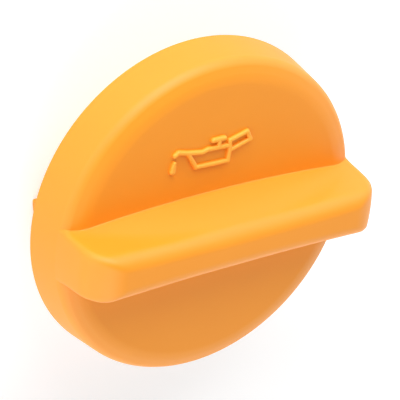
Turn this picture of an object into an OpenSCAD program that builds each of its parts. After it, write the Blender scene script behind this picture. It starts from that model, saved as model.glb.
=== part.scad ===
// Oil filler cap: one orange moulding with a full width grip bar and a bayonet stem,
// and a rubber seal ring round the root of the stem.
// Millimetres. The cap stands on the end of its stem: Z up out of the face,
// X along the grip bar, Y towards the half of the face that carries the oil can sign.

/* [Head] */
// diameter of the head at its back edge
head_d = 70; // [66:1:76]
// height of the head from its back edge to the flat face
head_h = 10.7; // [9.5:0.1:13]
// how far the side wall leans in below the rim
side_lean = 1.0; // [0.6:0.1:1.4]
// height of the rounded rim
rim_h = 2.8; // [2.4:0.1:3.4]
// radius where the side wall turns into the rim
rim_r = 2.4; // [1.8:0.1:2.6]
// thickness of the face
face_t = 2.6; // [2:0.1:3]
// thickness of the skirt at its back edge
skirt_t = 2.2; // [1.6:0.1:3]

/* [Grip bar] */
// height of the bar above the face
bar_h = 11.6; // [8:0.2:14]
// half thickness of the bar's front at the middle
bar_front = 4.0; // [3.4:0.1:5]
// how much wider that half is at the ends
bar_flare = 0.8; // [0.4:0.02:1]
// half thickness of the bar's foot at the middle
bar_foot = 7.1; // [6.2:0.1:8]
// how much narrower that half is at the ends
foot_bow = 1.85; // [1.2:0.05:2]
// slope of the foot, mm in per mm up
foot_slope = 0.29; // [0.25:0.01:0.34]
// radius along the bar's front edges
bar_edge_r = 2.3; // [1.6:0.1:2.6]
// radius at the bar's two front ends
bar_end_r = 7.5; // [4:0.5:9]
// slope of the bar's end walls, mm in per mm up
end_slope = 0.05; // [0.03:0.01:0.08]
// slope of the bar's flanks above the foot, mm in per mm up
flank_slope = 0.05; // [0.03:0.01:0.07]

/* [Stem] */
// length of the stem below the back edge of the head
stem_out = 15.4; // [13:0.2:18]
// outside diameter of the stem as a share of the head's
stem_share = 0.6; // [0.58:0.005:0.62]
// wall of the stem
stem_t = 2.5; // [2:0.1:3]
// how far a lug stands out of the stem
lug_out = 4.9; // [3.5:0.1:5]
// height of a lug
lug_h = 3; // [2.5:0.1:4]
// gap from the end of the stem to a lug
lug_up = 0.4; // [0.2:0.1:1]
// length of a lug, degrees round the stem
lug_arc = 38; // [25:1:50]
// where the first lug's leading end is, degrees round the stem
lug_start = 184; // [180:1:190]

/* [Seal] */
// thickness of the seal ring
seal_t = 3; // [2.5:0.1:3.4]
// share of the room between stem and skirt that the seal ring takes
seal_share = 0.495; // [0.45:0.005:0.52]

/* [Hidden] */
$fn = 128;
eps = 0.01;
// an arc stands this much proud of the lines it joins, so that they cross it cleanly
tuck = 0.01;
// how far a cutter reaches past the surface that it cuts
over = 1;
// a revolve of this many steps is used where a radius is hundreds of millimetres
wide_fn = 1440;

head_r = head_d / 2;
// how deep a cutter or a filler reaches behind the surface that it makes
reach = head_r;
z_back = stem_out;
z_face = z_back + head_h;
z_top = z_face + bar_h;
z_ceil = z_face - face_t;

// rim: an arc off the side wall, a sloping land and an arc on to the face
rim_x = head_r - side_lean;
rim_z = z_face - rim_h;
land_a = 68;
land_r = 3.5;
side_a = atan(side_lean / (head_h - rim_h));
c1_x = rim_x - rim_r * cos(side_a);
c1_z = rim_z - rim_r * sin(side_a);
rim_in = rim_r - tuck;
land_in = land_r - tuck;
t2_x = c1_x + rim_in * cos(land_a);
t2_z = c1_z + rim_in * sin(land_a);
c2_z = z_face - land_in;
t3_z = c2_z + land_in * sin(land_a);
t3_x = t2_x - (t3_z - t2_z) * tan(land_a);
c2_x = t3_x - land_in * cos(land_a);
back_r = 0.6;

// inside of the head
inside_lean = 0.3;
skirt_in = head_r - skirt_t;
skirt_in_up = rim_x - skirt_t - inside_lean;

// seal seat
stem_r = stem_share * head_r;
bore_r = stem_r - stem_t;
bore_lean = 0.3;
stem_in = bore_r - over;
seal_gap = 0.1;
seal_in = stem_r + seal_gap;
seal_w = seal_share * (skirt_in_up - stem_r);
seal_out = seal_in + seal_w;
seal_z = z_ceil - seal_t;
seal_c = 0.5;
bead_r = 0.5;
wall_in = seal_out + seal_gap;
wall_t = 1.6;
wall_past = 1.4;
wall_h = seal_t + wall_past;
rib_n = 12;
rib_t = 1.4;
rib_h = 3.2;

// grip bar
span = head_r - side_lean;
waist_r = span * span / (2 * bar_flare);
foot_r = span * span / (2 * foot_bow);
bar_low = z_face - rim_h - over;
bar_up = z_top - bar_low;
// the end walls stand this far in from the side wall
end_inset = 0.05;
end_base = rim_x - end_inset + end_slope * (rim_z - bar_low);
end_top = rim_x - end_inset - end_slope * (z_top - rim_z);
end_a = atan(end_slope);
end_in = bar_end_r - tuck;
end_cx = end_top - end_in * (1 - sin(end_a)) / cos(end_a);
end_cz = z_top - end_in;
flank_x = waist_r - flank_slope * bar_edge_r;
edge_cx = flank_x + bar_edge_r - tuck;
waist_turn = 8;
foot_turn = 20;

// core of the bar, open into the bore of the stem
core_wall = 2.4;
core_ease = 0.4;
core_step = 1.5;
core_low = bar_foot - core_wall - core_ease;
core_high = bar_front - core_wall;
core_top = z_top - core_wall;
core_x = bore_r - core_step;

// lugs
lug_r = stem_r + lug_out;
lug_root = stem_r - stem_t / 2;
lug_fall = 0.5;
lead_arc = 9;
lead_drop = 1;
lead_run = lug_r * lead_arc * PI / 180;
lead_a = atan(lead_drop / lead_run);
lead_gap = 0.2;
stop_arc = 6;
stop_h = 4.5;
edge_c = 0.6;

// half section of the head as a full disc, without its inside
module head_section() {
    polygon([
        [0, z_back],
        [head_r - back_r, z_back],
        [head_r, z_back + back_r],
        [c1_x + rim_in * cos(side_a), c1_z + rim_in * sin(side_a)],
        [t2_x, t2_z],
        [t3_x, t3_z],
        [c2_x, z_face],
        [0, z_face]
    ]);
    translate([c1_x, c1_z]) circle(r = rim_r);
    translate([c2_x, c2_z]) circle(r = land_r);
}

// half section of the space under the face, round the stem
module head_inside_section() {
    polygon([
        [stem_r, z_back - over],
        [skirt_in + inside_lean, z_back - over],
        [skirt_in, z_back],
        [skirt_in_up, z_ceil],
        [stem_r, z_ceil]
    ]);
}

// outline that the bar's two ends follow, turned about the axis of the cap
module bar_envelope() {
    rotate_extrude() union() {
        polygon([
            [0, bar_low],
            [end_base, bar_low],
            [end_cx + end_in * cos(end_a), end_cz + end_in * sin(end_a)],
            [end_cx, z_top],
            [0, z_top]
        ]);
        translate([end_cx, end_cz]) circle(r = bar_end_r);
    }
}

// what is cut away beside one flank of the bar: hollow in plan, sloped, with a rounded edge
module waist_cutter() {
    translate([0, bar_front + waist_r, 0])
        rotate_extrude(angle = waist_turn, start = 270 - waist_turn / 2, $fn = wide_fn)
            difference() {
                polygon([
                    [waist_r - reach, bar_low - over],
                    [waist_r - flank_slope * (bar_up + over), bar_low - over],
                    [flank_x, z_top - bar_edge_r],
                    [edge_cx, z_top - bar_edge_r],
                    [edge_cx, z_top + over],
                    [waist_r - reach, z_top + over]
                ]);
                translate([edge_cx, z_top - bar_edge_r + tuck]) circle(r = bar_edge_r);
            }
}

// one side of the bar's bowed and sloped foot
module foot_side() {
    translate([0, bar_foot - foot_r, 0])
        rotate_extrude(angle = foot_turn, start = 90 - foot_turn / 2, $fn = wide_fn)
            polygon([
                [foot_r - reach, bar_low],
                [foot_r + foot_slope * (z_face - bar_low), bar_low],
                [foot_r - foot_slope * (bar_h - over), z_top - over],
                [foot_r - reach, z_top - over]
            ]);
}

module grip_bar() {
    intersection() {
        bar_envelope();
        union() {
            difference() {
                translate([-head_r, -bar_foot, bar_low]) cube([head_d, 2 * bar_foot, bar_up]);
                waist_cutter();
                mirror([0, 1, 0]) waist_cutter();
            }
            intersection() {
                foot_side();
                mirror([0, 1, 0]) foot_side();
            }
        }
    }
}

// core that leaves the bar with an even wall above the bore of the stem
module bar_core() {
    intersection() {
        rotate([90, 0, 90]) translate([0, 0, -core_x]) linear_extrude(2 * core_x)
            polygon([
                [-core_low, z_ceil - over],
                [core_low, z_ceil - over],
                [core_low, z_ceil],
                [core_high, core_top],
                [-core_high, core_top],
                [-core_low, z_ceil]
            ]);
        cylinder(r = core_x + core_step / 3, h = z_top);
    }
}

module stem() {
    difference() {
        rotate_extrude() polygon([
            [stem_in, edge_c / 2],
            [bore_r, 0],
            [stem_r - edge_c, 0],
            [stem_r, edge_c],
            [stem_r, z_ceil + eps],
            [stem_in, z_ceil + eps]
        ]);
        translate([0, 0, -over]) cylinder(r1 = bore_r, r2 = bore_r - bore_lean, h = z_ceil + over);
    }
}

// one bayonet lug: sloped top, a thinner leading end and a stop above the other end
module lug() {
    difference() {
        union() {
            rotate_extrude(angle = lug_arc, start = lug_start) polygon([
                [lug_root, lug_up],
                [lug_r - edge_c, lug_up],
                [lug_r, lug_up + edge_c],
                [lug_r, lug_up + lug_h - lug_fall],
                [lug_root, lug_up + lug_h]
            ]);
            rotate_extrude(angle = stop_arc, start = lug_start + lug_arc - stop_arc) polygon([
                [lug_root, lug_up],
                [lug_r - edge_c, lug_up],
                [lug_r - edge_c, lug_up + lug_h],
                [stem_r + edge_c, lug_up + lug_h + stop_h],
                [lug_root, lug_up + lug_h + stop_h]
            ]);
        }
        rotate([0, 0, lug_start + lead_arc])
            translate([stem_r + lead_gap, 0, lug_up + lug_h])
                rotate([lead_a, 0, 0])
                    translate([0, -2 * lead_run, 0])
                        cube([lug_r, 2 * lead_run, lug_h]);
    }
}

module seal_seat() {
    rotate_extrude() translate([wall_in, z_ceil - wall_h]) square([wall_t, wall_h + eps]);
    intersection() {
        rotate_extrude() translate([wall_in + wall_t / 2, z_ceil - rib_h])
            square([skirt_in_up - wall_in, rib_h + eps]);
        for (i = [0 : rib_n - 1])
            rotate([0, 0, i * 360 / rib_n + 180 / rib_n]) translate([0, -rib_t / 2, z_ceil - rib_h])
                cube([head_r, rib_t, rib_h + over]);
    }
    rotate_extrude() translate([stem_r, seal_z - bead_r]) circle(r = bead_r);
}

module cap() {
    color([0.93, 0.6, 0.2]) {
        difference() {
            union() {
                rotate_extrude() head_section();
                grip_bar();
            }
            rotate_extrude() head_inside_section();
            translate([0, 0, z_back - over])
                cylinder(r = bore_r - bore_lean, h = z_ceil - z_back + over);
            bar_core();
        }
        stem();
        lug();
        rotate([0, 0, 180]) lug();
        seal_seat();
    }
}

// flat rubber ring with small edge breaks, held round the stem by a small bead
module seal_ring() {
    color([0.1, 0.1, 0.1])
        rotate_extrude() polygon([
            [seal_in, seal_z + seal_c],
            [seal_in + seal_c, seal_z],
            [seal_out - seal_c, seal_z],
            [seal_out, seal_z + seal_c],
            [seal_out, z_ceil],
            [seal_in, z_ceil]
        ]);
}

cap();
seal_ring();
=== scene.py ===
"""Oil filler cap of a family car.

One orange nylon moulding carries a full width grip bar, a raised oil can sign and a hollow
bayonet stem, and a black rubber ring lies round the root of the stem. Lengths inside the
classes are in millimetres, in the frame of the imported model: Z up out of the face, X along
the grip bar, Y towards the sign, and zero height at the end of the stem.
"""
import logging
import math
from bisect import bisect_right
from collections.abc import Iterable, Sequence
from dataclasses import dataclass, field
from enum import Enum

import bmesh
import bpy
from mathutils import Matrix, Vector


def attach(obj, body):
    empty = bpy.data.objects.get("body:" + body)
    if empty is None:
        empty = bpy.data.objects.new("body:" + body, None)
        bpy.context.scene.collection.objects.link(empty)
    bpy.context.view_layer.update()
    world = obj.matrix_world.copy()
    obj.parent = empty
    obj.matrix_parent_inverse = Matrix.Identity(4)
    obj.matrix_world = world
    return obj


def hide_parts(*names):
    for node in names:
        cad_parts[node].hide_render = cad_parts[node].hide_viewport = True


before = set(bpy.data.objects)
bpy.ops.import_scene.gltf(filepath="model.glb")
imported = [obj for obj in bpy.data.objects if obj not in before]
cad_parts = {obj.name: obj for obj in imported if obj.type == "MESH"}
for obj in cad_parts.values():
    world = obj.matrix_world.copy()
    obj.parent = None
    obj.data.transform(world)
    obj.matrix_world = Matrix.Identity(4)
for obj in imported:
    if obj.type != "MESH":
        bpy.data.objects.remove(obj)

LOG = logging.getLogger("oil_filler_cap")
MM = 0.001
FULL_TURN = 2 * math.pi
TINY = 1e-6

# Heights and radii that several pieces share
BACK_Z = 15.4
CEILING_Z = 23.5
FACE_Z = 26.1
HEAD_R = 35.0
STEM_R = 21.0
BORE_R = 18.5


class Join(Enum):
    """How one solid is combined with another."""

    UNITE = "UNION"
    CUT = "DIFFERENCE"


def linear(colour: str) -> tuple[float, float, float, float]:
    """Turns an sRGB hex colour into the linear values that a shader takes.

    Args:
        colour: six hex digits after a hash.

    Returns:
        Linear red, green and blue, and an alpha of one.
    """
    parts = [int(colour[i : i + 2], 16) / 255 for i in (1, 3, 5)]
    red, green, blue = (v / 12.92 if v <= 0.04045 else ((v + 0.055) / 1.055) ** 2.4 for v in parts)
    return red, green, blue, 1.0


def add_node(
    tree: bpy.types.NodeTree,
    kind: str,
    settings: dict[str | int, object] | None = None,
    links: dict[str | int, bpy.types.NodeSocket] | None = None,
) -> bpy.types.Node:
    """Adds a shader node.

    Args:
        tree: the node tree of a material or of the world.
        kind: the node's Blender type.
        settings: values by name, of the node itself or of its input sockets, which a number may name too.
        links: the output socket that feeds each input, named in the same way.

    Returns:
        The new node.
    """
    node = tree.nodes.new(kind)
    for name, value in (settings or {}).items():
        if isinstance(name, int) or name in node.inputs:
            node.inputs[name].default_value = value
        else:
            setattr(node, name, value)
    for name, source in (links or {}).items():
        tree.links.new(source, node.inputs[name])
    return node


def empty_tree(owner: bpy.types.Material | bpy.types.World) -> bpy.types.NodeTree:
    """Gives a material or a world an empty node tree."""
    owner.use_nodes = True
    owner.node_tree.nodes.clear()
    return owner.node_tree


def smooth_range(
    tree: bpy.types.NodeTree, value: bpy.types.NodeSocket, start_mm: float, end_mm: float, low: float, high: float
) -> bpy.types.NodeSocket:
    """Goes smoothly from one level to another while a length in metres passes between two in millimetres."""
    settings = {
        "interpolation_type": "SMOOTHSTEP",
        "From Min": start_mm * MM,
        "From Max": end_mm * MM,
        "To Min": low,
        "To Max": high,
    }
    return add_node(tree, "ShaderNodeMapRange", settings, {"Value": value}).outputs["Result"]


@dataclass(frozen=True)
class Pattern:
    """A noise pattern in an object's own space, with cells of a real size in millimetres."""

    size_mm: float
    detail: float
    roughness: float = 0.6

    def add(self, tree: bpy.types.NodeTree, place: bpy.types.NodeSocket) -> bpy.types.NodeSocket:
        """Adds the pattern to a material and returns its level."""
        settings = {"Scale": 1 / (self.size_mm * MM), "Detail": self.detail, "Roughness": self.roughness}
        return add_node(tree, "ShaderNodeTexNoise", settings, {"Vector": place}).outputs["Fac"]


def mix_colours(tree: bpy.types.NodeTree, share: bpy.types.NodeSocket, first: str, second: str) -> bpy.types.Node:
    """Adds a node that goes from one sRGB colour to another as its share rises."""
    settings = {"data_type": "RGBA", "A": linear(first), "B": linear(second)}
    return add_node(tree, "ShaderNodeMix", settings, {"Factor": share})


@dataclass(frozen=True)
class Corner:
    """A corner of a turned section: its radius, its height and how it is rounded."""

    r: float
    z: float
    rounding: float = 0.0
    steps: int = 4


def draw_section(corners: Sequence[Corner], closed: bool) -> bmesh.types.BMesh:
    """Draws a section in the plane of X and Z and rounds its corners.

    Args:
        corners: the sharp corners in order.
        closed: whether the last corner joins the first.

    Returns:
        A mesh of edges, with a face inside them where the section is closed.
    """
    bm = bmesh.new()
    points = [bm.verts.new((c.r, 0, c.z)) for c in corners]
    pairs = list(zip(points, points[1:]))
    if closed:
        pairs.append((points[-1], points[0]))
    for a, b in pairs:
        bm.edges.new((a, b))
    for corner, point in zip(corners, points):
        if corner.rounding and len(point.link_edges) == 2:
            ways = [(e.other_vert(point).co - point.co).normalized() for e in point.link_edges]
            reach = corner.rounding / math.tan(ways[0].angle(ways[1]) / 2)
            bmesh.ops.bevel(
                bm,
                geom=[point],
                offset=reach,
                offset_type="OFFSET",
                segments=corner.steps,
                profile=0.5,
                affect="VERTICES",
                material=-1,
                clamp_overlap=False,
            )
    if closed:
        bmesh.ops.contextual_create(bm, geom=bm.edges[:])
    return bm


def round_edges(bm: bmesh.types.BMesh, edges: list[bmesh.types.BMEdge], radius: float, steps: int) -> None:
    """Rounds some edges of a solid that is being drawn.

    Args:
        bm: the solid.
        edges: the edges to round.
        radius: radius of the rounding where the faces meet squarely.
        steps: steps across the rounding.
    """
    bmesh.ops.bevel(
        bm,
        geom=edges,
        offset=radius,
        offset_type="OFFSET",
        segments=steps,
        profile=0.5,
        affect="EDGES",
        material=-1,
    )


def turn(bm: bmesh.types.BMesh, steps: int, start: float = 0.0, angle: float = FULL_TURN) -> None:
    """Turns a section about the axis of the cap and leaves a closed skin that faces outwards.

    Args:
        bm: the section, which becomes the solid.
        steps: how many steps the turn takes.
        start: where the turn begins, in radians.
        angle: how far it goes, in radians.
    """
    bmesh.ops.rotate(bm, verts=bm.verts[:], cent=(0, 0, 0), matrix=Matrix.Rotation(start, 3, "Z"))
    bmesh.ops.spin(
        bm,
        geom=bm.verts[:] + bm.edges[:] + bm.faces[:],
        cent=(0, 0, 0),
        axis=(0, 0, 1),
        angle=angle,
        steps=steps,
        use_merge=angle == FULL_TURN,
    )
    bmesh.ops.remove_doubles(bm, verts=bm.verts[:], dist=1e-4)
    bmesh.ops.recalc_face_normals(bm, faces=bm.faces[:])


def solid(bm: bmesh.types.BMesh, name: str) -> bpy.types.Object:
    """Puts a finished bmesh into the scene as an object.

    Args:
        bm: the mesh, in millimetres, which is freed.
        name: the object's name.

    Returns:
        The new object.
    """
    mesh = bpy.data.meshes.new(name)
    bm.to_mesh(mesh)
    bm.free()
    piece = bpy.data.objects.new(name, mesh)
    bpy.context.scene.collection.objects.link(piece)
    return piece


def bake(piece: bpy.types.Object) -> None:
    """Replaces a piece's mesh with what its modifiers make of it."""
    graph = bpy.context.evaluated_depsgraph_get()
    mesh = bpy.data.meshes.new_from_object(piece.evaluated_get(graph))
    piece.modifiers.clear()
    old, piece.data = piece.data, mesh
    mesh.name = piece.name
    bpy.data.meshes.remove(old)


def combine(target: bpy.types.Object, tools: Iterable[bpy.types.Object], how: Join) -> None:
    """Unites solids with a target or cuts them from it, and removes them.

    Args:
        target: the solid that changes.
        tools: the closed solids to combine with it.
        how: whether they are added or taken away.
    """
    tools = list(tools)
    for tool in tools:
        step = target.modifiers.new(tool.name, "BOOLEAN")
        step.operation = how.value
        step.solver = "MANIFOLD"
        step.object = tool
    bake(target)
    for tool in tools:
        mesh = tool.data
        bpy.data.objects.remove(tool)
        bpy.data.meshes.remove(mesh)


def soften_edges(piece: bpy.types.Object, width: float, limit: float, segments: int = 3) -> None:
    """Rounds the edges of a part mesh before it is united with the rest.

    Args:
        piece: the solid.
        width: width of the rounding in millimetres.
        limit: smallest angle of an edge that is rounded, in degrees.
        segments: steps across the rounding.
    """
    bevel = piece.modifiers.new("edges", "BEVEL")
    bevel.width = width
    bevel.segments = segments
    bevel.limit_method = "ANGLE"
    bevel.angle_limit = math.radians(limit)
    bake(piece)


def smooth_step(low: float, high: float, value: float) -> float:
    """Goes smoothly from zero at the low value to one at the high one."""
    t = min(max((value - low) / (high - low), 0.0), 1.0)
    return t * t * (3 - 2 * t)


def soft_max(a: float, b: float, width: float) -> float:
    """The larger of two values, blended where they differ by less than the width."""
    if width < TINY:
        return max(a, b)
    near = max(width - abs(a - b), 0.0) / width
    return max(a, b) + near * near * width / 4


def round_meet(a: float, b: float, radius: float) -> float:
    """Depth under two faces that meet in a rounded edge.

    Args:
        a: distance outside the first face, negative inside.
        b: distance outside the second face, negative inside.
        radius: radius of the edge between them.

    Returns:
        Distance outside the rounded form, negative inside.
    """
    if a <= -radius or b <= -radius:
        return max(a, b)
    return math.hypot(a + radius, b + radius) - radius


@dataclass
class TurnedBody:
    """Head, skirt, seal seat and stem, all turned about one axis."""

    face_edge_r: float = 30.349
    rim_corner_r: float = 33.823
    rim_corner_z: float = 24.697
    land_rounding: float = 6.5
    rim_rounding: float = 2.4
    skirt_in_r: float = 32.8
    skirt_in_top_r: float = 31.5
    wall_out_r: float = 28.0
    wall_in_r: float = 26.4
    wall_low_z: float = 19.1
    bead_z: float = 20.0
    bead: float = 0.5
    bore_top_r: float = 18.2
    steps: int = 256

    def corners(self) -> list[Corner]:
        """The section's corners, from the middle of the face round to the middle of its underside."""
        return [
            Corner(0, FACE_Z),
            Corner(self.face_edge_r, FACE_Z, self.land_rounding, 12),
            Corner(self.rim_corner_r, self.rim_corner_z, self.rim_rounding, 20),
            Corner(HEAD_R, BACK_Z, 0.45, 5),
            Corner(self.skirt_in_r, BACK_Z, 0.45, 5),
            Corner(self.skirt_in_top_r, CEILING_Z, 0.8, 5),
            Corner(self.wall_out_r, CEILING_Z, 0.5, 4),
            Corner(self.wall_out_r, self.wall_low_z, 0.35, 4),
            Corner(self.wall_in_r, self.wall_low_z, 0.35, 4),
            Corner(self.wall_in_r, CEILING_Z),
            Corner(STEM_R, CEILING_Z),
            Corner(STEM_R, self.bead_z + self.bead, 0.1, 2),
            Corner(STEM_R + self.bead, self.bead_z, 0.35, 5),
            Corner(STEM_R, self.bead_z - self.bead, 0.2, 3),
            Corner(STEM_R, 0, 0.6, 5),
            Corner(BORE_R, 0, 0.3, 4),
            Corner(self.bore_top_r, CEILING_Z, 0.8, 5),
            Corner(0, CEILING_Z),
        ]

    def build(self) -> bpy.types.Object:
        """Turns the section into the body."""
        bm = draw_section(self.corners(), closed=False)
        turn(bm, self.steps)
        return solid(bm, "turned_body")

    def surface(self) -> tuple[list[float], list[float]]:
        """Radii of points on the outer surface, from the middle of the face outwards, and their heights above it."""
        bm = draw_section(self.corners()[:4], closed=False)
        points = sorted((v.co.x, v.co.z - FACE_Z) for v in bm.verts)
        bm.free()
        return [p[0] for p in points], [p[1] for p in points]


@dataclass
class GripBar:
    """The bar across the face: waisted flanks that stand on a bowed, sloping foot.

    Heights in this class are above the face. Its skin is found from a plate inside it: each point
    of a finely cut cube looks outwards from the plate to where the bar's form ends.

    Attributes:
        surface: radii and heights of points on the head's outer surface.
        front, flare: half thickness of the waist in the middle of the bar, and what the ends add to it.
        foot, bow: half thickness of the foot where it stands on the face, and what the ends take off.
        foot_slope, flank_slope, end_slope: how far each side leans in for each millimetre of height.
        half_length, side_wall_top: how far out the ends stand, and the height at which they do.
        edge_r, end_r: radii of the long top edges and of the two ends, seen from the side.
        corner_r, corner_spread: radius of the upright corners at the face, and what it gains up to the top.
        blend_per_radius: width of a blend that rounds a square corner to a radius of one.
        root_r, root_reach: radius of the fillet at the root, and how many radii its fine rows cover.
        low, end_low: height of the hidden base in the middle and at the ends, where the head falls away.
        cuts: cuts of the cube along, across and up.
        root_rows, hidden_rows: shares of the rows up the bar that the fillet and the hidden base take.
        room_r, room_depth, room_overlap: the space under the face that the hidden base keeps out of.
    """

    surface: tuple[list[float], list[float]]
    height: float = 11.6
    half_length: float = 34.0
    front: float = 4.15
    flare: float = 0.8
    foot: float = 7.1
    bow: float = 1.85
    foot_slope: float = 0.29
    flank_slope: float = 0.05
    end_slope: float = 0.05
    side_wall_top: float = -2.8
    edge_r: float = 2.9
    end_r: float = 6.7
    corner_r: float = 0.9
    corner_spread: float = 1.3
    crease_soft: float = 0.4
    blend_per_radius: float = 1.17
    root_r: float = 0.2
    root_reach: float = 1.4
    plate_inset: float = 2.6
    low: float = -1.3
    end_low: float = -3.6
    drop_from: float = 28.5
    drop_to: float = 31.2
    longest_way: float = 20.0
    most_tries: int = 40
    cuts: tuple[int, int, int] = (159, 39, 43)
    root_rows: float = 0.3
    hidden_rows: float = 0.07
    room_r: float = 31.8
    room_depth: float = 3.0
    room_overlap: float = 0.3

    def head_height(self, radius: float) -> float:
        """Height of the head's outer surface at a radius, under the bar."""
        radii, heights = self.surface
        i = min(max(bisect_right(radii, radius), 1), len(radii) - 1)
        t = min(max((radius - radii[i - 1]) / (radii[i] - radii[i - 1]), 0.0), 1.0)
        return heights[i - 1] + (heights[i] - heights[i - 1]) * t

    def half_width(self, x: float, z: float, above: float) -> float:
        """Half of the bar's thickness.

        Args:
            x: place along the bar.
            z: height above the face.
            above: height above the head's own surface, which falls away at the rim.

        Returns:
            Distance from the middle plane to the flank.
        """
        bend = (x / self.half_length) ** 2
        waist = self.front + self.flare * bend + self.flank_slope * (self.height - z)
        foot = self.foot - self.bow * bend - self.foot_slope * z
        sunk = min(max(self.root_r - above, 0.0), 0.95 * self.root_r)
        root = self.root_r - math.sqrt(self.root_r**2 - sunk**2)
        return soft_max(waist, foot, self.crease_soft) + root

    def outside(self, p: Vector) -> float:
        """Distance of a point outside the bar's skin, negative inside."""
        radius = math.hypot(p.x, p.y)
        top = p.z - self.height
        side = abs(p.y) - self.half_width(p.x, p.z, p.z - self.head_height(radius))
        end = radius - self.half_length + self.end_slope * (p.z - self.side_wall_top)
        flank = round_meet(side, top, self.edge_r)
        nose = round_meet(end, top, self.end_r)
        side_share = min(max(side / self.edge_r + 1, 0.0), 1.0)
        end_share = min(max(end / self.end_r + 1, 0.0), 1.0)
        spread = self.corner_r + self.corner_spread * smooth_step(0, self.height, p.z)
        return soft_max(flank, nose, self.blend_per_radius * spread * side_share * end_share)

    def skin(self, start: Vector, way: Vector) -> Vector:
        """The place where a line from inside the bar leaves it.

        Args:
            start: a point inside the bar.
            way: unit direction of the line.

        Returns:
            The point on the bar's skin.
        """
        near, far = 0.0, self.longest_way
        f_near, f_far = self.outside(start), self.outside(start + way * far)
        for _ in range(self.most_tries):
            t = near - f_near * (far - near) / (f_far - f_near)
            f = self.outside(start + way * t)
            if abs(f) < TINY:
                break
            if f < 0:
                near, f_near = t, f
                f_far *= 0.5
            else:
                far, f_far = t, f
                f_near *= 0.5
        return start + way * t

    def plate_top(self, u: float) -> tuple[Vector, Vector]:
        """A point on the upper outline of the plate inside the bar, and the outline's normal there.

        Args:
            u: place along the outline, from minus one at one end to one at the other.

        Returns:
            The point and the unit normal, both in the bar's middle plane.
        """
        arc_r = self.end_r - self.plate_inset
        centre = Vector((self.half_length - self.end_r, 0, self.height - self.end_r))
        quarter = arc_r * math.pi / 2
        along = abs(u) * (centre.x + quarter)
        side = math.copysign(1, u)
        if along <= centre.x:
            return Vector((side * along, 0, centre.z + arc_r)), Vector((0, 0, 1))
        angle = math.pi / 2 - (along - centre.x) / arc_r
        normal = Vector((side * math.cos(angle), 0, math.sin(angle)))
        return Vector((side * centre.x, 0, centre.z)) + normal * arc_r, normal

    def plate_point(self, u: float, w: float) -> Vector:
        """A point of the plate inside the bar.

        Args:
            u: place along the bar, from minus one to one.
            w: place up the bar, from minus one at its hidden base to one.

        Returns:
            The point in the bar's middle plane. Its rows lie closest where the bar meets the head.
        """
        top, _ = self.plate_top(u)
        base_x = u * (self.half_length - self.plate_inset)
        ground = self.head_height(abs(base_x))
        low = self.low + (self.end_low - self.low) * smooth_step(self.drop_from, self.drop_to, abs(base_x))
        share = (w + 1) / 2
        if share < self.hidden_rows:
            z = low + (ground - low) * share / self.hidden_rows
        elif share < self.hidden_rows + self.root_rows:
            t = (share - self.hidden_rows) / self.root_rows
            z = ground + self.root_reach * self.root_r * t
        else:
            t = (share - self.hidden_rows - self.root_rows) / (1 - self.hidden_rows - self.root_rows)
            start = ground + self.root_reach * self.root_r
            z = start + (top.z - start) * t
        t = (z - low) / (top.z - low)
        return Vector((base_x + (top.x - base_x) * t, 0, z))

    def shape(self, p: Vector) -> Vector:
        """Moves a point of a finely cut cube, two units wide, on to the skin of the bar.

        Args:
            p: a point on the skin of the cube.

        Returns:
            The same point on the skin of the bar.
        """
        u, v, w = p
        start = self.plate_point(u, w)
        edge = 1 - 1e-4
        on_end, on_top, on_flank = abs(u) > edge, w > edge, abs(v) > edge
        if on_end or on_top:
            normal = Vector((math.copysign(1, u), 0, 0)) if not on_top else self.plate_top(u)[1]
            way = normal * math.cos(v * math.pi / 2) + Vector((0, math.sin(v * math.pi / 2), 0))
            return self.skin(start, way)
        if on_flank:
            return self.skin(start, Vector((0, math.copysign(1, v), 0)))
        flank = self.skin(start, Vector((0, 1, 0)))
        return Vector((start.x, flank.y * v, start.z))

    def build(self) -> bpy.types.Object:
        """Cuts a cube finely and lays its skin on to the form of the bar."""
        bm = bmesh.new()
        bmesh.ops.create_cube(bm, size=2)
        for axis, cuts in enumerate(self.cuts):
            edges = [e for e in bm.edges if abs((e.verts[0].co - e.verts[1].co)[axis]) > 1]
            bmesh.ops.subdivide_edges(bm, edges=edges, cuts=cuts, use_grid_fill=True)
        for vert in bm.verts:
            vert.co = self.shape(vert.co)
        bmesh.ops.translate(bm, verts=bm.verts[:], vec=(0, 0, FACE_Z))
        bmesh.ops.recalc_face_normals(bm, faces=bm.faces[:])
        bar = solid(bm, "grip_bar")
        combine(bar, [self.room_under_face()], Join.CUT)
        return bar

    def room_under_face(self) -> bpy.types.Object:
        """The space under the face that the bar's hidden base keeps out of."""
        low, high = CEILING_Z - self.room_depth, CEILING_Z + self.room_overlap
        room = [Corner(0, low), Corner(self.room_r, low), Corner(self.room_r, high), Corner(0, high)]
        bm = draw_section(room, closed=False)
        turn(bm, 64)
        return solid(bm, "room_under_face")


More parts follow.
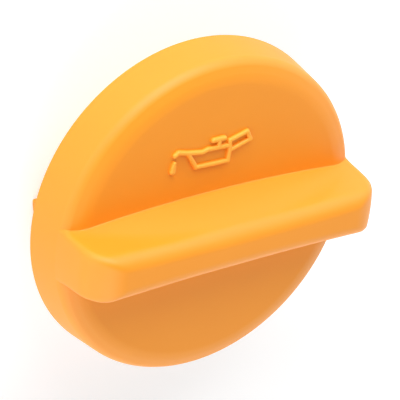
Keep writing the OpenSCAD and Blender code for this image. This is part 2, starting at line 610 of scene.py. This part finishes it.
@dataclass
class BarCore:
    """The moulding core that leaves the bar with an even wall, open into the stem."""

    half_length: float = 17.0
    half_low: float = 4.3
    half_high: float = 1.6
    top_z: float = 35.3
    overlap: float = 1.0
    edge_r: float = 1.2

    def build(self) -> bpy.types.Object:
        """Builds the core as a tapered block on a short straight foot, with rounded upright edges."""
        bm = bmesh.new()
        bmesh.ops.create_cube(bm, size=2)
        upright = [e for e in bm.edges if abs(e.verts[0].co.z - e.verts[1].co.z) > 1]
        bmesh.ops.subdivide_edges(bm, edges=upright, cuts=1, use_grid_fill=True)
        levels = {
            -1: (CEILING_Z - self.overlap, self.half_low),
            0: (CEILING_Z, self.half_low),
            1: (self.top_z, self.half_high),
        }
        for vert in bm.verts:
            height, half = levels[round(vert.co.z)]
            vert.co = Vector((vert.co.x * self.half_length, vert.co.y * half, height))
        upright = [e for e in bm.edges if abs(e.verts[0].co.z - e.verts[1].co.z) > 0.5]
        round_edges(bm, upright, self.edge_r, 5)
        return solid(bm, "bar_core")


@dataclass
class BayonetLug:
    """A lug on the stem, thin at its leading end, with a stop above the other end.

    Attributes:
        start, arc, lead_arc, stop_arc: where the lug starts and how far it and its ends reach, in degrees.
        lead_drop: how much thinner the leading end is.
        stop_inset, stop_top_width: how far the stop stays inside the lug's tip, and its width at the top.
        stop_gap: how far the stop ends short of the lug, in radians.
    """

    start: float
    name: str
    arc: float = 38.0
    lead_arc: float = 9.0
    lead_drop: float = 1.0
    stop_arc: float = 6.0
    tip_r: float = 25.9
    root_r: float = 19.75
    low_z: float = 0.4
    root_z: float = 3.4
    tip_z: float = 2.9
    stop_z: float = 7.9
    stop_inset: float = 0.8
    stop_top_width: float = 0.7
    stop_gap: float = 0.002
    edge_width: float = 0.3

    def build(self) -> bpy.types.Object:
        """Turns the lug and its stop, thins the leading end and unites the two."""
        bm = draw_section(
            [
                Corner(self.root_r, self.low_z),
                Corner(self.tip_r, self.low_z, 0.6, 4),
                Corner(self.tip_r, self.tip_z, 0.4, 4),
                Corner(self.root_r, self.root_z),
            ],
            closed=True,
        )
        turn(bm, 38, math.radians(self.start), math.radians(self.arc))
        for vert in bm.verts:
            place = math.degrees(math.atan2(vert.co.y, vert.co.x)) % 360
            into = (place - self.start) % 360
            if vert.co.z > self.low_z + 1 and into < self.lead_arc:
                vert.co.z -= self.lead_drop * (1 - into / self.lead_arc)
        lug = solid(bm, self.name)
        soften_edges(lug, self.edge_width, 60)
        stop_start = math.radians(self.start + self.arc - self.stop_arc)
        bm = draw_section(
            [
                Corner(self.root_r, self.low_z + 1),
                Corner(self.tip_r - self.stop_inset, self.low_z + 1),
                Corner(self.tip_r - self.stop_inset, self.tip_z),
                Corner(STEM_R + self.stop_top_width, self.stop_z),
                Corner(self.root_r, self.stop_z),
            ],
            closed=True,
        )
        turn(bm, 6, stop_start, math.radians(self.stop_arc) - self.stop_gap)
        stop = solid(bm, self.name + "_stop")
        soften_edges(stop, self.edge_width, 40)
        combine(lug, [stop], Join.UNITE)
        return lug


@dataclass
class SkirtRibs:
    """Ribs under the face between the wall round the seal and the skirt."""

    count: int = 12
    thickness: float = 1.4
    height: float = 3.2
    inner_r: float = 27.2
    outer_r: float = 32.3
    overlap: float = 0.4
    edge_r: float = 0.35

    def build(self) -> list[bpy.types.Object]:
        """Builds each rib as a block with rounded edges, its top sunk in the face."""
        ribs = []
        for i in range(self.count):
            angle = (i + 0.5) * FULL_TURN / self.count
            length = self.outer_r - self.inner_r
            place = (
                Matrix.Rotation(angle, 4, "Z")
                @ Matrix.Translation((self.inner_r + length / 2, 0, CEILING_Z + (self.overlap - self.height) / 2))
                @ Matrix.Diagonal((length, self.thickness, self.height + self.overlap, 1))
            )
            bm = bmesh.new()
            bmesh.ops.create_cube(bm, size=1, matrix=place)
            low = [e for e in bm.edges if all(v.co.z < CEILING_Z - 1 for v in e.verts)]
            round_edges(bm, low, self.edge_r, 3)
            ribs.append(solid(bm, f"rib_{i}"))
        return ribs


@dataclass(frozen=True)
class Stroke:
    """A raised line of the sign, through points in the plane of the face."""

    points: tuple[tuple[float, float], ...]
    width: float


@dataclass
class OilCanSign:
    """The oil can with a drop at its spout, raised on the face as even round-backed lines.

    Attributes:
        rise, sunk: how far the lines stand above the face and reach down into it.
        roundness: radius of a line's back as a share of half its width.
        draft: how much wider each side of a line is at its foot.
    """

    rise: float = 0.76
    sunk: float = 0.3
    roundness: float = 0.92
    draft: float = 0.05
    strokes: tuple[Stroke, ...] = (
        Stroke(
            ((-10.76, 17.09), (-10.04, 17.64), (-7.84, 17.06), (-4.46, 16.49), (-3.25, 16.87), (1.78, 16.65)), 0.9
        ),
        Stroke(((-7.84, 17.06), (-5.71, 13.56), (1.66, 13.37), (1.9, 16.26), (1.7, 17.7)), 0.86),
        Stroke(((1.7, 17.7), (5.7, 18.82), (6.6, 17.0), (2.2, 15.67)), 0.84),
        Stroke(((-0.77, 17.02), (-0.67, 18.32)), 0.8),
        Stroke(((-2.1, 18.5), (0.4, 18.51)), 0.98),
    )
    drop_top: tuple[float, float] = (-10.77, 15.56)
    drop_foot: tuple[float, float] = (-10.98, 13.72)
    drop_top_r: float = 0.33
    drop_foot_r: float = 0.62

    def bend(self, centre: tuple[float, float], half: float, name: str) -> bpy.types.Object:
        """A turned button that rounds the end or the bend of a line.

        Args:
            centre: where the line bends.
            half: half of the line's width.
            name: the piece's name.

        Returns:
            The solid.
        """
        low, high = FACE_Z - self.sunk, FACE_Z + self.rise
        outline = [
            Corner(0, high),
            Corner(half, high, self.roundness * half, 6),
            Corner(half + self.draft, low),
            Corner(0, low),
        ]
        bm = draw_section(outline, closed=False)
        turn(bm, 32)
        bmesh.ops.translate(bm, verts=bm.verts[:], vec=(*centre, 0))
        return solid(bm, name)

    def line(self, a: Vector, b: Vector, half_a: float, half_b: float, name: str) -> bpy.types.Object:
        """A straight length of a line, which may widen on its way.

        Args:
            a: where it starts.
            b: where it ends.
            half_a: half of its width at the start.
            half_b: half of its width at the end.
            name: the piece's name.

        Returns:
            The solid.
        """
        low, high = FACE_Z - self.sunk, FACE_Z + self.rise
        outline = [
            Corner(half_a + self.draft, low),
            Corner(half_a, high, self.roundness * half_a, 6),
            Corner(-half_a, high, self.roundness * half_a, 6),
            Corner(-half_a - self.draft, low),
        ]
        bm = draw_section(outline, closed=True)
        far = bmesh.ops.extrude_face_region(bm, geom=bm.faces[:])["geom"]
        along = (b - a).normalized()
        for vert in bm.verts:
            across = vert.co.x
            place = a
            if vert in far:
                across, place = across * half_b / half_a, b
            vert.co = Vector((place.x - along.y * across, place.y + along.x * across, vert.co.z))
        bmesh.ops.recalc_face_normals(bm, faces=bm.faces[:])
        return solid(bm, name)

    def build(self) -> bpy.types.Object:
        """Unites the lines, their bends and the drop."""
        parts = []
        for n, stroke in enumerate(self.strokes):
            half = stroke.width / 2
            for i, point in enumerate(stroke.points):
                parts.append(self.bend(point, half, f"bend_{n}_{i}"))
            for i, (a, b) in enumerate(zip(stroke.points, stroke.points[1:])):
                parts.append(self.line(Vector(a), Vector(b), half, half, f"line_{n}_{i}"))
        top, foot = Vector(self.drop_top), Vector(self.drop_foot)
        parts.append(self.bend(self.drop_top, self.drop_top_r, "drop_top"))
        parts.append(self.bend(self.drop_foot, self.drop_foot_r, "drop_foot"))
        parts.append(self.line(top, foot, self.drop_top_r, self.drop_foot_r, "drop_body"))
        sign = parts.pop(0)
        combine(sign, parts, Join.UNITE)
        return sign


@dataclass(frozen=True)
class Skin:
    """How a moulded surface takes the light: its gloss and the fine relief that breaks the gloss up."""

    roughness: float
    ior: float
    relief: float
    relief_depth_mm: float

    def add(self, tree: bpy.types.NodeTree, height: bpy.types.NodeSocket, colour: bpy.types.NodeSocket) -> None:
        """Adds the shader of the surface and makes it the material's output.

        Args:
            tree: the material's nodes.
            height: level of the fine relief.
            colour: colour of the plastic or rubber.
        """
        settings = {"Strength": self.relief, "Distance": self.relief_depth_mm * MM}
        bump = add_node(tree, "ShaderNodeBump", settings, {"Height": height}).outputs["Normal"]
        gloss = {"Roughness": self.roughness, "IOR": self.ior}
        shader = add_node(tree, "ShaderNodeBsdfPrincipled", gloss, {"Normal": bump, "Base Color": colour})
        add_node(tree, "ShaderNodeOutputMaterial", links={"Surface": shader.outputs["BSDF"]})


@dataclass(frozen=True)
class MouldedNylon:
    """Glass filled nylon, moulded in a finely etched tool and coloured through.

    The etched skin breaks the light into a wide satin sheen with no sharp reflection. The pigment drifts
    a little from place to place, and the raised lines of the sign carry a paler painted highlight.
    """

    colour: str = "#F69A1A"
    drift: str = "#F49718"
    # paler colour painted on the sign's raised lines, a painted highlight where light catches them
    sign_highlight: str = "#FFB036"
    skin: Skin = Skin(roughness=0.5, ior=1.57, relief=0.12, relief_depth_mm=0.03)
    cloud: Pattern = Pattern(size_mm=9.0, detail=3.0, roughness=0.5)
    grain: Pattern = Pattern(size_mm=0.28, detail=2.0)
    # heights above the face over which the painted highlight on the sign comes in
    highlight_from: float = 0.12
    highlight_to: float = 0.4
    sign_from_y: float = 11.5

    def material(self) -> bpy.types.Material:
        """Builds the satin orange plastic."""
        made = bpy.data.materials.new("moulded_nylon_orange")
        tree = empty_tree(made)
        place = add_node(tree, "ShaderNodeTexCoord").outputs["Object"]
        plain = mix_colours(tree, self.cloud.add(tree, place), self.colour, self.drift)
        # the sign's raised lines take the paler colour, a painted highlight
        highlighted = mix_colours(tree, self.sign_share(tree, place), self.colour, self.sign_highlight)
        tree.links.new(plain.outputs["Result"], highlighted.inputs["A"])
        self.skin.add(tree, self.grain.add(tree, place), highlighted.outputs["Result"])
        return made

    def sign_share(self, tree: bpy.types.NodeTree, place: bpy.types.NodeSocket) -> bpy.types.NodeSocket:
        """Share of the painted highlight: one on the raised lines of the sign and zero elsewhere."""
        parts = add_node(tree, "ShaderNodeSeparateXYZ", links={"Vector": place}).outputs
        levels = {"From Min": (FACE_Z + self.highlight_from) * MM, "From Max": (FACE_Z + self.highlight_to) * MM}
        raised = add_node(tree, "ShaderNodeMapRange", levels, {"Value": parts["Z"]}).outputs["Result"]
        settings = {"operation": "GREATER_THAN", 1: self.sign_from_y * MM}
        past_bar = add_node(tree, "ShaderNodeMath", settings, {0: parts["Y"]}).outputs[0]
        return add_node(tree, "ShaderNodeMath", {"operation": "MULTIPLY"}, {0: raised, 1: past_bar}).outputs[0]


@dataclass(frozen=True)
class NitrileRubber:
    """Black nitrile rubber, pressed in a plain tool.

    It is nearly black with a soft dull sheen, and fine dusting marks make the sheen uneven.
    """

    colour: str = "#1B1B1D"
    dusty: str = "#28282A"
    skin: Skin = Skin(roughness=0.62, ior=1.52, relief=0.2, relief_depth_mm=0.04)
    dust: Pattern = Pattern(size_mm=1.6, detail=4.0)

    def material(self) -> bpy.types.Material:
        """Builds the dull black rubber."""
        made = bpy.data.materials.new("nitrile_rubber_black")
        tree = empty_tree(made)
        place = add_node(tree, "ShaderNodeTexCoord").outputs["Object"]
        dust = self.dust.add(tree, place)
        self.skin.add(tree, dust, mix_colours(tree, dust, self.colour, self.dusty).outputs["Result"])
        return made


@dataclass
class CapMoulding:
    """The orange moulding: body, bar, sign, lugs and ribs in one piece."""

    finish: MouldedNylon = field(default_factory=MouldedNylon)
    body: TurnedBody = field(default_factory=TurnedBody)
    lug_start: float = 184.0
    sharp_angle: float = 35.0

    def build(self) -> bpy.types.Object:
        """Unites all forms of the moulding and dresses it."""
        cap = self.body.build()
        cap.name = "cap_moulding"
        bar = GripBar(self.body.surface()).build()
        lugs = [
            BayonetLug(self.lug_start, "lug_west").build(),
            BayonetLug(self.lug_start - 180, "lug_east").build(),
        ]
        combine(cap, [bar, OilCanSign().build(), *lugs, *SkirtRibs().build()], Join.UNITE)
        combine(cap, [BarCore().build()], Join.CUT)
        self.dress(cap)
        return cap

    def dress(self, cap: bpy.types.Object) -> None:
        """Brings the moulding to metres, smooths its shading and gives it its plastic."""
        settle(cap, self.sharp_angle)
        weigh = cap.modifiers.new("even_normals", "WEIGHTED_NORMAL")
        weigh.keep_sharp = True
        cap.data.materials.clear()
        cap.data.materials.append(self.finish.material())
        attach(cap, "root")
        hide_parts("cap")


@dataclass
class SealRing:
    """The flat rubber ring round the root of the stem, against the underside of the face."""

    finish: NitrileRubber = field(default_factory=NitrileRubber)
    inner_r: float = 21.1
    outer_r: float = 26.3
    low_z: float = 20.5
    low_edge: float = 0.5
    high_edge: float = 0.15
    steps: int = 192
    sharp_angle: float = 40.0

    def build(self) -> bpy.types.Object:
        """Turns the ring's section and dresses it."""
        corners = [
            Corner(self.inner_r, self.low_z, self.low_edge, 5),
            Corner(self.outer_r, self.low_z, self.low_edge, 5),
            Corner(self.outer_r, CEILING_Z, self.high_edge, 2),
            Corner(self.inner_r, CEILING_Z, self.high_edge, 2),
        ]
        bm = draw_section(corners, closed=True)
        bmesh.ops.delete(bm, geom=bm.faces[:], context="FACES_ONLY")
        turn(bm, self.steps)
        ring = solid(bm, "seal")
        settle(ring, self.sharp_angle)
        ring.data.materials.append(self.finish.material())
        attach(ring, "root")
        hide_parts("seal_ring")
        return ring


def settle(piece: bpy.types.Object, sharp: float) -> None:
    """Brings a piece from millimetres to metres and sets smooth shading.

    Args:
        piece: the finished piece.
        sharp: angle in degrees over which an edge stays sharp.
    """
    piece.data.transform(Matrix.Scale(MM, 4))
    piece.data.shade_smooth()
    piece.data.set_sharp_from_angle(angle=math.radians(sharp))


@dataclass(frozen=True)
class SoftLamp:
    """A wide diffusing lamp that points at the cap from a compass angle and a height angle."""

    name: str
    compass: float
    rise: float
    width: float
    height: float
    power: float
    distance: float = 600.0


@dataclass
class Studio:
    """Pale floor, soft lamps, a room that is brightest near its horizon, and the photograph's camera.

    The floor and the backdrop look white to the camera and in reflections. The floor glows least
    in front of the cap, where its shadow is to be seen, and most far away from it. The glow adds
    no diffuse light to the cap, since such light meets plain paint.

    Attributes:
        front_y, middle_y: where the glow in front of the cap has risen to the glow round its middle.
        fade_from, fade_to: distances from the cap between which the glow rises to that of the far floor.
        room_light, room_fall: light from the horizon, and how fast it falls towards the top and the bottom.
        eye, right, up: the camera's place, and the ways that are right and up in the picture.
    """

    floor_colour: str = "#F2F2F2"
    floor_r: float = 3000.0
    floor_gap: float = 0.05
    front_glow: float = 0.24
    middle_glow: float = 0.4
    far_glow: float = 0.9
    front_y: float = -62.0
    middle_y: float = -22.0
    fade_from: float = 62.0
    fade_to: float = 150.0
    room_light: float = 3.3
    room_fall: float = 2.0
    lens: float = 180.9
    sensor: float = 36.0
    eye: Vector = field(default_factory=lambda: Vector((-205.247, 193.794, 269.977 + FACE_Z)))
    right: Vector = field(default_factory=lambda: Vector((0.82570, 0.08407, 0.55781)))
    up: Vector = field(default_factory=lambda: Vector((0.21300, 0.86916, -0.44630)))
    lamps: tuple[SoftLamp, ...] = (
        SoftLamp("window", 95, 22, 450, 450, 2.4),
        SoftLamp("side_screen", 236, 47, 450, 450, 1.2),
    )

    def build(self) -> None:
        """Sets up everything round the cap."""
        self.place_camera()
        self.lay_floor()
        self.light_room()
        for lamp in self.lamps:
            self.hang_lamp(lamp)

    def place_camera(self) -> None:
        """Puts the camera at the photograph's viewing angle, rolled as the photograph is."""
        camera = bpy.data.cameras.new("camera")
        camera.lens = self.lens
        camera.sensor_width = self.sensor
        camera.clip_start = 10 * MM
        holder = bpy.data.objects.new("camera", camera)
        back = self.right.cross(self.up)
        turned = Matrix((self.right, self.up, back)).transposed().to_4x4()
        holder.matrix_world = Matrix.Translation(self.eye * MM) @ turned
        bpy.context.scene.collection.objects.link(holder)
        bpy.context.scene.camera = holder

    def seen_directly(self, tree: bpy.types.NodeTree) -> bpy.types.NodeSocket:
        """One for the camera, for reflections and for light through glass, and zero for all other light."""
        rays = add_node(tree, "ShaderNodeLightPath").outputs
        first = {0: rays["Is Camera Ray"], 1: rays["Is Glossy Ray"]}
        either = add_node(tree, "ShaderNodeMath", {"operation": "MAXIMUM"}, first).outputs[0]
        second = {0: either, 1: rays["Is Transmission Ray"]}
        return add_node(tree, "ShaderNodeMath", {"operation": "MAXIMUM"}, second).outputs[0]

    def floor_glow(self, tree: bpy.types.NodeTree) -> bpy.types.NodeSocket:
        """How much the floor glows at each place, least in front of the cap and most far away."""
        place = add_node(tree, "ShaderNodeTexCoord").outputs["Object"]
        depth = add_node(tree, "ShaderNodeSeparateXYZ", links={"Vector": place}).outputs["Y"]
        near = smooth_range(tree, depth, self.front_y, self.middle_y, self.front_glow, self.middle_glow)
        reach = add_node(tree, "ShaderNodeVectorMath", {"operation": "LENGTH"}, {0: place}).outputs["Value"]
        away = smooth_range(tree, reach, self.fade_from, self.fade_to, 0.0, self.far_glow)
        return add_node(tree, "ShaderNodeMath", {"operation": "MAXIMUM"}, {0: near, 1: away}).outputs[0]

    def lay_floor(self) -> None:
        """Lays a pale floor just under the cap, white to the camera apart from the cap's shadow."""
        bm = bmesh.new()
        bmesh.ops.create_circle(bm, cap_ends=True, segments=96, radius=self.floor_r)
        bmesh.ops.translate(bm, verts=bm.verts[:], vec=(0, 0, -self.floor_gap))
        floor = solid(bm, "floor")
        floor.data.transform(Matrix.Scale(MM, 4))
        made = bpy.data.materials.new("painted_board_pale")
        tree = empty_tree(made)
        paint = add_node(tree, "ShaderNodeBsdfDiffuse", {"Color": linear(self.floor_colour)}).outputs[0]
        both = {0: self.seen_directly(tree), 1: self.floor_glow(tree)}
        share = add_node(tree, "ShaderNodeMath", {"operation": "MULTIPLY"}, both).outputs[0]
        glow = add_node(tree, "ShaderNodeEmission", links={"Strength": share}).outputs[0]
        surface = add_node(tree, "ShaderNodeAddShader", links={0: paint, 1: glow}).outputs[0]
        add_node(tree, "ShaderNodeOutputMaterial", links={"Surface": surface})
        floor.data.materials.append(made)

    def light_room(self) -> None:
        """Lights the room from all sides, most near its horizon, and shows a white backdrop."""
        world = bpy.data.worlds.new("studio")
        tree = empty_tree(world)
        way = add_node(tree, "ShaderNodeTexCoord").outputs["Generated"]
        height = add_node(tree, "ShaderNodeSeparateXYZ", links={"Vector": way}).outputs["Z"]
        steep = add_node(tree, "ShaderNodeMath", {"operation": "ABSOLUTE"}, {0: height}).outputs[0]
        low = add_node(tree, "ShaderNodeMath", {"operation": "SUBTRACT", 0: 1.0}, {1: steep}).outputs[0]
        fall = add_node(tree, "ShaderNodeMath", {"operation": "POWER", 1: self.room_fall}, {0: low}).outputs[0]
        level = add_node(tree, "ShaderNodeMath", {"operation": "MULTIPLY", 1: self.room_light}, {0: fall}).outputs[0]
        white = {"Color": (1, 1, 1, 1)}
        room = add_node(tree, "ShaderNodeBackground", white, {"Strength": level}).outputs[0]
        backdrop = add_node(tree, "ShaderNodeBackground", white | {"Strength": 1.0}).outputs[0]
        parts = {0: self.seen_directly(tree), 1: room, 2: backdrop}
        mixed = add_node(tree, "ShaderNodeMixShader", links=parts).outputs[0]
        add_node(tree, "ShaderNodeOutputWorld", links={"Surface": mixed})
        bpy.context.scene.world = world

    def hang_lamp(self, lamp: SoftLamp) -> None:
        """Hangs one lamp so that it points at the middle of the cap."""
        light = bpy.data.lights.new(lamp.name, "AREA")
        light.shape = "RECTANGLE"
        light.size = lamp.width * MM
        light.size_y = lamp.height * MM
        light.energy = lamp.power
        holder = bpy.data.objects.new(lamp.name, light)
        round_z = Matrix.Rotation(math.radians(lamp.compass), 3, "Z")
        lifted = Matrix.Rotation(-math.radians(lamp.rise), 3, "Y")
        away = round_z @ lifted @ Vector((lamp.distance, 0, 0))
        aim = (-away).to_track_quat("-Z", "Y").to_matrix().to_4x4()
        holder.matrix_world = Matrix.Translation((away + Vector((0, 0, FACE_Z))) * MM) @ aim
        holder.visible_camera = False
        bpy.context.scene.collection.objects.link(holder)


def main() -> None:
    """Builds the cap and its studio and notes each piece."""
    logging.basicConfig(level=logging.INFO, format="%(name)s: %(message)s")
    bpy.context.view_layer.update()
    bpy.context.scene.view_settings.view_transform = "Standard"
    for piece in (CapMoulding().build(), SealRing().build()):
        LOG.info("%s has %d faces", piece.name, len(piece.data.polygons))
    Studio().build()


if __name__ == "__main__":
    main()
